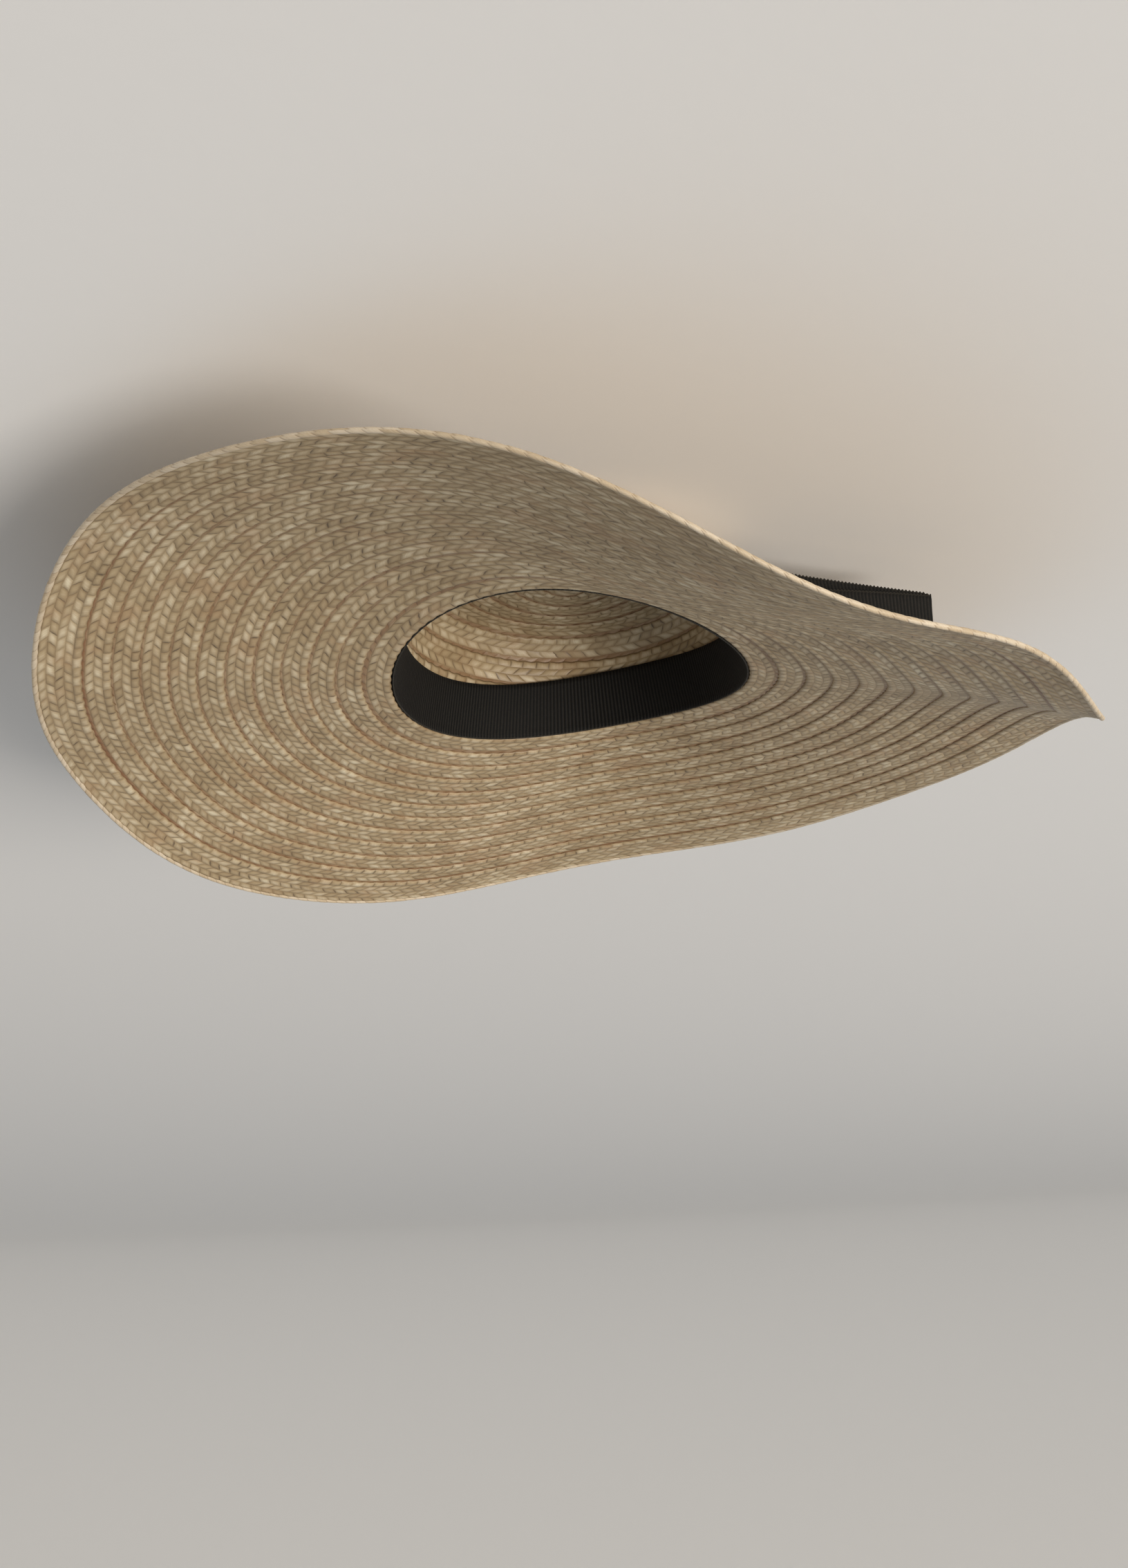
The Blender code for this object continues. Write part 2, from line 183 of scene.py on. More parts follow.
def makeStraw(name, creviceShade):
    material, tree, shader = newMaterial(name)
    uv = addNode(tree, "UVMap", {"uv_map": "plait"})
    parts = addNode(tree, "SeparateXYZ", None, [uv]).node.outputs
    coarse = addNode(tree, "VectorMath", "MULTIPLY", [uv, straw["wander"]])
    loose = addNode(tree, "TexNoise", None, {"Vector": coarse, "Scale": 1.0, "Detail": 2.0}, 1)
    loose = addNode(tree, "SeparateXYZ", None, [loose]).node.outputs
    along = addNode(tree, "Math", "MULTIPLY_ADD", [loose[0], straw["drift"], parts[0]])
    stray = addNode(tree, "Math", "MULTIPLY_ADD", [loose[1], straw["stray"], -straw["stray"] / 2])
    across = addNode(tree, "Math", "ADD", [parts[1], stray])  # mm from the row's selvage
    # which float a point is on: columns across the row, slanted one way and then the other
    column = addNode(tree, "Math", "DIVIDE", [across, straw["column"]])
    number = addNode(tree, "Math", "FLOOR", [column])
    t = addNode(tree, "Math", "FRACT", [column])
    odd = addNode(tree, "Math", "FLOORED_MODULO", [number, 2.0])
    sign = addNode(tree, "Math", "MULTIPLY_ADD", [odd, 2.0, -1.0])
    inner = addNode(tree, "Math", "GREATER_THAN", [number, 0.5])
    slant = addNode(tree, "Math", "MULTIPLY", [sign, inner])
    fromMiddle = addNode(tree, "Math", "SUBTRACT", [t, 0.5])
    shift = addNode(tree, "Math", "MULTIPLY", [fromMiddle, slant])
    place = addNode(tree, "Math", "MULTIPLY_ADD", [shift, straw["slant"], along])
    place = addNode(tree, "Math", "MULTIPLY_ADD", [number, 0.5, place])
    single = addNode(tree, "Math", "FLOOR", [place])
    a = addNode(tree, "Math", "FRACT", [place])
    # rounded floats: 1 in the middle, 0 at the sides and ends
    aFar = addNode(tree, "Math", "MULTIPLY_ADD", [a, 2.0, -1.0])
    aFar = addNode(tree, "Math", "ABSOLUTE", [aFar])
    tFar = addNode(tree, "Math", "MULTIPLY_ADD", [t, 2.0, -1.0])
    tFar = addNode(tree, "Math", "ABSOLUTE", [tFar])
    aGap = addNode(tree, "Math", "POWER", [aFar, straw["gapPower"]])
    tGap = addNode(tree, "Math", "POWER", [tFar, straw["gapPower"]])
    gap = addNode(tree, "Math", "MAXIMUM", [aGap, tGap])
    aRound = addNode(tree, "Math", "POWER", [aFar, straw["roundPower"]])
    tRound = addNode(tree, "Math", "POWER", [tFar, straw["roundPower"]])
    aRound = addNode(tree, "Math", "SUBTRACT", [1.0, aRound])
    tRound = addNode(tree, "Math", "SUBTRACT", [1.0, tRound])
    dome = addNode(tree, "Math", "MULTIPLY", [aRound, tRound])
    # tone: each straw's own, fine fibres along it, broad patches over the hat
    own = addNode(tree, "CombineXYZ", None, [single, number])
    random = addNode(tree, "TexWhiteNoise", {"noise_dimensions": "3D"}, {"Vector": own})
    own2 = addNode(tree, "VectorMath", "ADD", [own, (17.3, 5.1, 2.2)])
    random2 = addNode(tree, "TexWhiteNoise", {"noise_dimensions": "3D"}, {"Vector": own2})
    fibreAcross = addNode(tree, "Math", "MULTIPLY", [a, straw["fibresPerStraw"]])
    fibreSeed = addNode(tree, "Math", "MULTIPLY", [random, 40.0])
    fibrePlace = addNode(tree, "CombineXYZ", None, [fibreAcross, t, fibreSeed])
    fibre = addNode(tree, "TexNoise", None,
                    {"Vector": fibrePlace, "Scale": 1.0, "Detail": 3.0, "Roughness": 0.65})
    spot = addNode(tree, "TexCoord", None, (), 3)
    patches = addNode(tree, "TexNoise", None,
                      {"Vector": spot, "Scale": straw["patchesPerMetre"], "Detail": 3.0})
    level = addNode(tree, "Math", "MULTIPLY_ADD", [random, straw["ownTone"], straw["toneStart"]])
    level = addNode(tree, "Math", "MULTIPLY_ADD", [patches, straw["patchTone"], level])
    level = addNode(tree, "Math", "MULTIPLY_ADD", [fibre, straw["fibreTone"], level])
    # painted highlight: each float paler towards its raised middle
    level = addNode(tree, "Math", "MULTIPLY_ADD", [dome, straw["middleHighlight"], level])
    level = addNode(tree, "Math", "SUBTRACT", [level, straw["toneDrop"]])
    tone = addNode(tree, "ValToRGB", None, [level])
    setRamp(tone, straw["tones"])
    warm = addNode(tree, "TexNoise", None,
                   {"Vector": spot, "Scale": straw["tansPerMetre"], "Detail": 2.0})
    warm = addNode(tree, "MapRange", {"interpolation_type": "SMOOTHSTEP"},
                   [warm, *straw["tanRange"], 0.0, straw["tan"]])
    tone = addNode(tree, "Mix", {"data_type": "RGBA"},
                   {0: warm, 6: tone, 7: srgb(straw["tanTone"])}, 2)
    # painted shade: the gaps round each float darkened towards the gap colour
    soft = addNode(tree, "Math", "MULTIPLY", [gap, straw["gap"]])
    tone = addNode(tree, "Mix", {"data_type": "RGBA"},
                   {0: soft, 6: tone, 7: srgb(straw["gapShadeColour"])}, 2)
    # painted shade: near-black in the slits where some straws stand apart
    some = addNode(tree, "MapRange", {"interpolation_type": "SMOOTHSTEP"},
                   [random2, *straw["slitRange"], 0.0, 1.0])  # only some straws stand apart
    slitShade = addNode(tree, "Math", "MULTIPLY", [some, aGap])
    slitShade = addNode(tree, "Math", "MULTIPLY", [slitShade, tRound])
    slitShade = addNode(tree, "Math", "MULTIPLY", [slitShade, straw["slitShade"]])
    tone = addNode(tree, "Mix", {"data_type": "RGBA"},
                   {0: slitShade, 6: tone, 7: srgb(straw["slitShadeColour"])}, 2)
    # painted shade: straw darkened towards the brown crevice colour where the next row's selvage lies
    # over this one
    if creviceShade:  # where the next row's selvage lies over this one
        uneven = addNode(tree, "Math", "MULTIPLY_ADD", [loose[2], straw["creviceUneven"], parts[1]])
        near, far = straw["creviceRange"]
        under = addNode(tree, "MapRange", {"interpolation_type": "SMOOTHSTEP"},
                        [uneven, near - straw["creviceWiden"] * creviceShade, far, 0.0, creviceShade])
        tone = addNode(tree, "Mix", {"data_type": "RGBA"},
                       {0: under, 6: tone, 7: srgb(straw["creviceShadeColour"])}, 2)
    tree.links.new(tone, shader.inputs["Base Color"])
    lap = addNode(tree, "Math", "MULTIPLY", [a, inner])
    height = addNode(tree, "Math", "MULTIPLY_ADD", [lap, straw["lapHeight"], dome])
    height = addNode(tree, "Math", "MULTIPLY_ADD", [fibre, straw["fibreHeight"], height])
    height = addNode(tree, "Math", "MULTIPLY_ADD", [gap, straw["gapHeight"], height])
    bump = addNode(tree, "Bump", None, {"Strength": straw["bump"], "Distance": straw["bumpDepth"],
                                        "Height": height})
    tree.links.new(bump, shader.inputs["Normal"])
    rough = addNode(tree, "Math", "MULTIPLY_ADD",
                    [fibre, straw["fibreRoughness"], straw["leastRoughness"]])
    tree.links.new(rough, shader.inputs["Roughness"])
    shader.inputs["IOR"].default_value = 1.5
    return material


# pale split straw turned over the brim wire: smooth, nearly cream, with oblique laps whose edges are
# darkened towards the lap colour as painted shade
rimStraw = {"tones": ((0.0, "#A38B6C"), (0.45, "#C6B395"), (1.0, "#E0D3BE")), "lap": "#8A6A4C",
            "roughness": 0.50, "linesPerLap": 9.0, "linesAround": 2.0, "turnPerLap": 1.3,
            "fibreTone": 0.7, "ownTone": 0.4, "lapPower": 12.0, "lapShade": 0.5,
            "bump": 0.5, "bumpDepth": 0.0003, "fibreHeight": 0.3}


def makeRimStraw():
    material, tree, shader = newMaterial("turnedStrawEdge")
    uv = addNode(tree, "UVMap", {"uv_map": "plait"})
    parts = addNode(tree, "SeparateXYZ", None, [uv]).node.outputs
    place = addNode(tree, "Math", "MULTIPLY_ADD", [parts[1], rimStraw["turnPerLap"], parts[0]])
    single = addNode(tree, "Math", "FLOOR", [place])
    a = addNode(tree, "Math", "FRACT", [place])
    random = addNode(tree, "TexWhiteNoise", {"noise_dimensions": "1D"}, {"W": single})
    lineAcross = addNode(tree, "Math", "MULTIPLY", [a, rimStraw["linesPerLap"]])
    lineAlong = addNode(tree, "Math", "MULTIPLY", [parts[1], rimStraw["linesAround"]])
    lines = addNode(tree, "CombineXYZ", None, [lineAcross, lineAlong, single])
    fibre = addNode(tree, "TexNoise", None, {"Vector": lines, "Scale": 1.0, "Detail": 3.0})
    level = addNode(tree, "Math", "MULTIPLY", [fibre, rimStraw["fibreTone"]])
    level = addNode(tree, "Math", "MULTIPLY_ADD", [random, rimStraw["ownTone"], level])
    tone = addNode(tree, "ValToRGB", None, [level])
    setRamp(tone, rimStraw["tones"])
    # painted shade: each lap darkened towards the lap colour near its edges, where it meets the next
    far = addNode(tree, "Math", "MULTIPLY_ADD", [a, 2.0, -1.0])
    far = addNode(tree, "Math", "ABSOLUTE", [far])
    lap = addNode(tree, "Math", "POWER", [far, rimStraw["lapPower"]])
    dark = addNode(tree, "Math", "MULTIPLY", [lap, rimStraw["lapShade"]])
    tone = addNode(tree, "Mix", {"data_type": "RGBA"},
                   {0: dark, 6: tone, 7: srgb(rimStraw["lap"])}, 2)
    tree.links.new(tone, shader.inputs["Base Color"])
    height = addNode(tree, "Math", "MULTIPLY", [fibre, rimStraw["fibreHeight"]])
    height = addNode(tree, "Math", "SUBTRACT", [height, lap])
    bump = addNode(tree, "Bump", None, {"Strength": rimStraw["bump"],
                                        "Distance": rimStraw["bumpDepth"], "Height": height})
    tree.links.new(bump, shader.inputs["Normal"])
    shader.inputs["Roughness"].default_value = rimStraw["roughness"]
    shader.inputs["IOR"].default_value = 1.5
    return material


# black rayon grosgrain: cross ribs that catch the light on top and go black between, painted into the
# colour as a painted highlight on the rib tops and painted shade between them, and a firm woven edge
# painted as a lighter line, a painted highlight. Real ribs are about 1 mm apart; they are drawn 1.8
# mm apart so that they show
grosgrain = {"rib": 1.8, "warpThread": 0.5, "width": 28.0, "top": "#24211C", "valleyShade": "#030302",
             "edge": "#3A362E", "roughness": 0.72, "specular": 0.22, "sheen": 0.015,
             "grainPerMm": 0.6, "grainTone": 0.8, "leastTone": 0.45, "ribPower": 1.4,
             "edgeRange": (0.955, 0.975), "edgeShare": 0.6,
             "threadHeight": 0.15, "bump": 0.9, "bumpDepth": 0.0003}


def makeGrosgrain():
    material, tree, shader = newMaterial("blackGrosgrain")
    uv = addNode(tree, "UVMap", {"uv_map": "plait"})
    parts = addNode(tree, "SeparateXYZ", None, [uv]).node.outputs  # mm along and mm across
    rib = addNode(tree, "Math", "MULTIPLY", [parts[0], 2 * math.pi / grosgrain["rib"]])
    rib = addNode(tree, "Math", "COSINE", [rib])
    rib = addNode(tree, "Math", "MULTIPLY_ADD", [rib, 0.5, 0.5])
    thread = addNode(tree, "Math", "MULTIPLY", [parts[1], 2 * math.pi / grosgrain["warpThread"]])
    thread = addNode(tree, "Math", "COSINE", [thread])
    thread = addNode(tree, "Math", "MULTIPLY_ADD", [thread, 0.5, 0.5])
    grain = addNode(tree, "TexNoise", None,
                    {"Vector": uv, "Scale": grosgrain["grainPerMm"], "Detail": 4.0})
    level = addNode(tree, "Math", "MULTIPLY_ADD",
                    [grain, grosgrain["grainTone"], grosgrain["leastTone"]])
    # painted highlight and painted shade: the colour runs from the black valley shade between ribs to
    # the top colour on each rib
    ribLightAndShade = addNode(tree, "Math", "POWER", [rib, grosgrain["ribPower"]])
    level = addNode(tree, "Math", "MULTIPLY", [level, ribLightAndShade])
    tone = addNode(tree, "ValToRGB", None, [level])
    setRamp(tone, ((0.0, grosgrain["valleyShade"]), (1.0, grosgrain["top"])))
    # painted highlight: a lighter line along each woven edge
    far = addNode(tree, "Math", "MULTIPLY_ADD", [parts[1], 2 / grosgrain["width"], -1.0])
    far = addNode(tree, "Math", "ABSOLUTE", [far])
    edge = addNode(tree, "MapRange", None,
                   [far, *grosgrain["edgeRange"], 0.0, grosgrain["edgeShare"]])
    tone = addNode(tree, "Mix", {"data_type": "RGBA"},
                   {0: edge, 6: tone, 7: srgb(grosgrain["edge"])}, 2)
    tree.links.new(tone, shader.inputs["Base Color"])
    height = addNode(tree, "Math", "MULTIPLY_ADD", [thread, grosgrain["threadHeight"], rib])
    bump = addNode(tree, "Bump", None, {"Strength": grosgrain["bump"],
                                        "Distance": grosgrain["bumpDepth"], "Height": height})
    tree.links.new(bump, shader.inputs["Normal"])
    shader.inputs["Roughness"].default_value = grosgrain["roughness"]
    shader.inputs["Specular IOR Level"].default_value = grosgrain["specular"]
    shader.inputs["Sheen Weight"].default_value = grosgrain["sheen"]
    return material


# the three straw materials differ only in how strong the painted shade is in the line under the next
# row
strawRow = makeStraw("sewnStrawPlait", straw["creviceShade"])
strawBeforeOuter = makeStraw("strawPlaitDarkerShadeByOuterRow", straw["outerCreviceShade"])
strawOuter = makeStraw("outerStrawPlait", 0.0)
rimMaterial, ribbonMaterial = makeRimStraw(), makeGrosgrain()
print("materials made")


def meshPiece(name, points, quads, uvs, material, nodes):
    mesh = bpy.data.meshes.new(name)
    quads = np.asarray(quads, dtype=np.int32).reshape(-1, 4)
    mesh.vertices.add(len(points))
    mesh.vertices.foreach_set("co", np.asarray(points, dtype=np.float32).ravel())
    mesh.loops.add(quads.size)
    mesh.loops.foreach_set("vertex_index", quads.ravel())
    mesh.polygons.add(len(quads))
    mesh.polygons.foreach_set("loop_start", np.arange(0, quads.size, 4, dtype=np.int32))
    layer = mesh.uv_layers.new(name="plait")
    layer.data.foreach_set("uv", np.asarray(uvs, dtype=np.float32).ravel())
    mesh.update(calc_edges=True)
    mesh.validate()
    mesh.shade_smooth()
    mesh.materials.append(material)
    piece = bpy.data.objects.new(name, mesh)
    bpy.context.collection.objects.link(piece)
    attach(piece, "root")
    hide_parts(*nodes)
    return piece


def closedGrid(sections, steps, closed=True):  # quads of a hoop: section index, then step
    s, k = np.meshgrid(np.arange(sections), np.arange(steps if closed else steps - 1), indexing="ij")
    s2, k2 = (s + 1) % sections, (k + 1) % steps
    return np.stack([s * steps + k, s * steps + k2, s2 * steps + k2, s2 * steps + k], -1), s, k


def quadUvs(u0, u1, v0, v1):
    corners = ((u0, v0), (u1, v0), (u1, v1), (u0, v1))
    return np.stack([np.stack(corner, -1) for corner in corners], 2)


def evenSteps(at, dense, pitch, perPitch):  # whole pitches, in mm, evenly round a closed line
    turns = np.linspace(0, 2 * math.pi, dense + 1)
    line = at(turns)
    run = np.concatenate([[0], np.cumsum(np.linalg.norm(np.diff(line, axis=0), axis=1))])
    count = max(6, round(run[-1] * 1000 / pitch))
    phase = np.arange(count * perPitch) / perPitch
    return count, phase, np.interp(phase / count * run[-1], run, turns)


def looseWave(random, turn, orders):  # unevenness round the hat
    return sum(random.normal(0, 1) / order * np.cos(order * turn + random.uniform(0, 6.28))
               for order in orders)


# one sewn row of plait: a flat strip with its own relief, its inner selvage over the row before;
# heights are in metres and places across the row in mm
plaitRow = {"half": 0.00031, "relief": 0.00015, "selvage": 0.00018, "scallop": 0.00042,
            "curl": 0.00020, "perPitch": 6, "wander": 0.00036, "beadMiddle": 1.75, "beadHalf": 1.8,
            "flatShare": 0.12, "curlWidth": 1.2, "toothWidth": 2.4, "edgeShare": 0.55,
            "backShift": 0.37, "headSpacing": 1.2, "uvApart": 400.0}


def weaveRelief(along, across, width):
    column = across / straw["column"]
    number, t = np.floor(column), column % 1.0
    slant = np.where(number > 0.5, 2 * (number % 2) - 1, 0.0)
    place = along + (t - 0.5) * slant * straw["slant"] + number * 0.5
    floats = plaitRow["relief"] * np.cos(2 * math.pi * (place - 0.5)) * np.sin(math.pi * t)
    bead = np.sqrt(np.clip(1 - ((across - plaitRow["beadMiddle"]) / plaitRow["beadHalf"]) ** 2, 0, 1))
    bead = plaitRow["selvage"] * bead * (0.72 + 0.28 * np.cos(2 * math.pi * (along - 0.5)))
    fade = np.clip((width - across) / 1.0, 0, 1)
    return np.where(number > 0.5, floats * fade, bead)


def plaitStrip(name, place, start, width, drop, seed, material, nodes):
    random = np.random.default_rng(seed)
    _, phase, turn = evenSteps(lambda turns: place(start + width * 0.5, 0.0, turns), 720,
                               straw["pitch"], plaitRow["perPitch"])
    steps = len(phase)
    mm = width * 1000
    head = np.linspace(0, mm, max(4, round(mm / plaitRow["headSpacing"])) + 1)
    head = np.unique(np.concatenate([head, [straw["column"]]]))
    wander = looseWave(random, turn, (2, 3, 5, 8, 13, 21)) * plaitRow["wander"]
    offset = random.uniform(0, 1)
    along = phase + offset
    loops = []
    for side in (1, -1):
        for x in (head if side > 0 else head[::-1]):
            edge = x if side > 0 else mm - x  # distance from the selvage that shows on this side
            flat = plaitRow["flatShare"]
            lift = -drop * (np.clip(x / mm, flat, 1 - flat) - 0.5) / (0.5 - flat)
            curl = plaitRow["curlWidth"]
            lift += plaitRow["curl"] * (max(0.0, 1 - (mm - x) / curl) - max(0.0, 1 - x / curl))
            body = plaitRow["half"] * (plaitRow["edgeShare"] if x in (0.0, mm) else 1.0)
            shift = 0.0 if side > 0 else plaitRow["backShift"]
            relief = weaveRelief(along + shift, np.full(steps, edge), mm)
            teeth = plaitRow["toothWidth"]
            nearSelvage = max(0.0, 1 - x / teeth) - max(0.0, 1 - (mm - x) / teeth) * 0.5
            tooth = plaitRow["scallop"] * (0.5 + 0.5 * np.cos(2 * math.pi * along)) * nearSelvage
            loops.append(place(start + x / 1000 + wander - tooth,
                               lift + side * (body + relief), turn))
    sections = len(loops)
    quads, s, k = closedGrid(sections, steps)
    acrossHead = np.concatenate([head, mm - head[::-1]])
    n = len(head)
    first = acrossHead[s]
    after = (s + 1) % sections
    second = np.where((s == n - 1) | (s == sections - 1), first, acrossHead[after])
    shift = np.where(s < n, 0.0, plaitRow["backShift"]) + offset + plaitRow["uvApart"] * (seed % 50)
    u0, u1 = k / plaitRow["perPitch"] + shift, (k + 1) / plaitRow["perPitch"] + shift
    uvs = quadUvs(u0, u1, first, second)
    return meshPiece(name, np.concatenate(loops), quads[..., ::-1], uvs[:, :, ::-1],
                     material, nodes)


def rowStarts():
    end = hat["brimLength"] - hat["edgeThickness"] - hat["gap"]
    starts = [0.0, hat["firstRow"]]
    while end - starts[-1] > 1.5 * hat["rowWidth"]:
        starts.append(starts[-1] + hat["rowWidth"])
    return starts, end


# lap is how far a row runs on under the next one and drop how much it tilts, in metres
brimRows = {"lap": 0.0021, "drop": 0.00032, "middle": -0.00060, "tuck": 0.0006, "seed": 11}


def brimSheet(length, lift, turn):
    return brimPlace(length, lift + brimRows["middle"], turn)


# the painted shade line beside the wide outer row is the darkest
def rowStraw(index, count):  # the line beside the wide outer row is the darkest
    return strawOuter if index == count - 1 else strawBeforeOuter if index == count - 2 else strawRow


starts, brimEnd = rowStarts()
for index, start in enumerate(starts):
    last = index == len(starts) - 1
    stop = brimEnd + brimRows["tuck"] if last else starts[index + 1] + brimRows["lap"]
    plaitStrip(f"brim_row_{index + 1:02d}", brimSheet, start, stop - start, brimRows["drop"],
               brimRows["seed"] + index, rowStraw(index, len(starts)), ["brim"])
print("brim rows made")

crownRows = {"lap": 0.0021, "drop": 0.00032, "begin": 0.0009, "seed": 31}
crownLength = (crownPath["centre"] + crownPath["flat"] + crownPath["side"]
               + (hat["shoulderRadius"] - hat["tipThickness"] / 2) * math.pi / 2)
crownCount = round(crownLength / hat["rowWidth"])
for index in range(crownCount):
    begin = max(crownRows["begin"], crownLength * index / crownCount)
    stop = min(crownLength, crownLength * (index + 1) / crownCount + crownRows["lap"])
    plaitStrip(f"crown_row_{index + 1:02d}", crownPlace, begin, stop - begin, crownRows["drop"],
               crownRows["seed"] + index, strawRow, ["crown"])
print("crown rows made")

# the pale edge: straw turned over the wire in oblique laps
rim = {"radius": 0.00108, "round": 14, "perLap": 5, "lap": 6.2, "swell": 0.00016,
       "uneven": 0.00006, "inward": 1.25}  # lap in mm; radius, swell and uneven in metres


def makeRim():
    middle = -hat["brimWall"] / 2 - hat["rowStep"] / 2
    laps, phase, turn = evenSteps(
        lambda turns: brimPlace(hat["brimLength"] - rim["radius"], middle, turns), 1440,
        rim["lap"], rim["perLap"])
    random = np.random.default_rng(5)
    uneven = np.repeat(random.normal(0, rim["uneven"], laps), rim["perLap"])
    loops = []
    for corner in range(rim["round"]):
        share = corner / rim["round"]
        angle = 2 * math.pi * share
        lap = np.abs(2 * ((phase + rimStraw["turnPerLap"] * share) % 1.0) - 1) ** 4
        radius = rim["radius"] + uneven * 0.5 - rim["swell"] * lap
        across = radius * (rim["inward"] if math.cos(angle) < 0 else 1.0) * math.cos(angle)
        loops.append(brimPlace(hat["brimLength"] - hat["edgeThickness"] / 2 + across,
                               middle + radius * math.sin(angle), turn))
    quads, s, k = closedGrid(rim["round"], len(phase))
    u0, u1 = k / rim["perLap"], (k + 1) / rim["perLap"]
    v0, v1 = s / rim["round"], (s + 1) / rim["round"]
    meshPiece("turned_edge", np.concatenate(loops), quads, quadUvs(u0, u1, v0, v1), rimMaterial,
              ["wired_edge"])


makeRim()
print("edge made")

# ribbons: thin closed strips with raised ribs across them
ribbon = {"perRib": 4, "across": 10, "ribShare": 0.18}


def ribbonHoop(name, at, thickness, facesIn, nodes):  # at gives points from share, turn and lift
    _, phase, turn = evenSteps(lambda turns: at(0.5, turns, thickness), 720,
                               grosgrain["rib"], ribbon["perRib"])
    face = thickness * (1 - ribbon["ribShare"] * (0.5 - 0.5 * np.cos(2 * math.pi * phase)))
    n = ribbon["across"] + 1
    shares = np.linspace(0, 1, n)
    near, beyond = (0.0, face) if facesIn else (face, 0.0)
    loops = [at(s, turn, near) for s in shares] + [at(s, turn, beyond) for s in shares[::-1]]
    quads, s, k = closedGrid(2 * n, len(phase))
    mm = float(np.linalg.norm(at(0.0, turn[:1], 0.0) - at(1.0, turn[:1], 0.0)) * 1000)
    table = np.concatenate([shares, shares[::-1]]) * mm
    u0, u1 = k / ribbon["perRib"] * grosgrain["rib"], (k + 1) / ribbon["perRib"] * grosgrain["rib"]
    v0, v1 = table[s], table[(s + 1) % (2 * n)]
    return meshPiece(name, np.concatenate(loops), quads, quadUvs(u0, u1, v0, v1), ribbonMaterial,
                     nodes)


def bandWave(turn, seed, size):
    return size * looseWave(np.random.default_rng(seed), turn, (3, 5, 9, 14, 23))


# ribbon sewn inside the opening, a little thinner than the hatband
sweatband = {"below": 0.0001, "inside": 0.0007, "wave": 0.00022, "waveMost": 0.0001, "thin": 0.8}


def sweatPoint(share, turn, lift):
    top = openingHeight(turn) - sweatband["below"]
    height = top - hat["sweatbandWidth"] * share
    lean = -hat["crownTaper"] * (1 - np.clip(sideShare(height, turn), 0, 1))
    wave = bandWave(turn, 3, sweatband["wave"]) * (0.4 + 0.6 * share)
    wave = np.minimum(wave, sweatband["waveMost"])
    return ring(lean - sweatband["inside"] + wave - lift, height, turn)


ribbonHoop("sweatband_ribbon", sweatPoint, hat["ribbonThickness"] * sweatband["thin"], True,
           ["sweatband"])

hatband = {"wave": 0.00025}  # ribbon round the outside of the crown, next to the brim


def hatbandWall(height, turn):
    wall = hat["crownWall"] + hat["rowStep"] + hat["gap"]
    return -hat["crownTaper"] * (1 - sideShare(height, turn)) + wall


def hatbandPoint(share, turn, lift):
    near = crownTop(turn) - hat["gap"] - hat["ribbonThickness"]
    height = near - hat["hatbandWidth"] * share
    wave = np.abs(bandWave(turn, 4, hatband["wave"])) * (0.3 + 0.7 * share)
    return ring(hatbandWall(height, turn) + wave + lift, height, turn)


ribbonHoop("hatband_ribbon", hatbandPoint, hat["ribbonThickness"], False, ["hatband"])

# knot: place round the crown in degrees, sizes in metres, depth of its pleats and creases
knot = {"turn": 200.0, "width": 0.014, "height": 0.037, "depth": 0.0045, "around": 120, "rows": 28,
        "pleats": 0.055, "creases": 0.02, "waist": 0.10, "rowMm": 0.6}


def knotPlace():  # top of the knot's back face, outward angle, lean, the hatband's far edge
    turn = np.array([math.radians(knot["turn"])])
    near = crownTop(turn) - hat["gap"] - hat["ribbonThickness"]
    far = near - hat["hatbandWidth"]
    wall = hatbandWall(near, turn)
    lean = math.atan2(float((wall - hatbandWall(far, turn))[0]), hat["hatbandWidth"])
    normal = ring(1.0, 0.0, turn)[0] - ring(0.0, 0.0, turn)[0]
    point = ring(wall + hat["ribbonThickness"] + hat["gap"], near, turn)[0]
    return point, math.atan2(normal[1], normal[0]), lean, float(far[0])


# loop: length and swing from the knot, then how its front and back layers rise to the fold
loop = {"length": 0.0934, "spread": 0.0055, "swing": -45.0, "frontLifts": (0.0, 0.0070),
        "backLifts": (0.0108, 0.0098), "foldShare": 0.35, "foldFrom": 8, "foldSteps": 24,
        "straightSteps": 60, "tuckIn": 0.0008, "scallop": 0.0003, "ribDepth": 0.34,
        "stepsPerMm": 4, "across": 13, "edgeShare": 0.45, "cup": 0.0006}


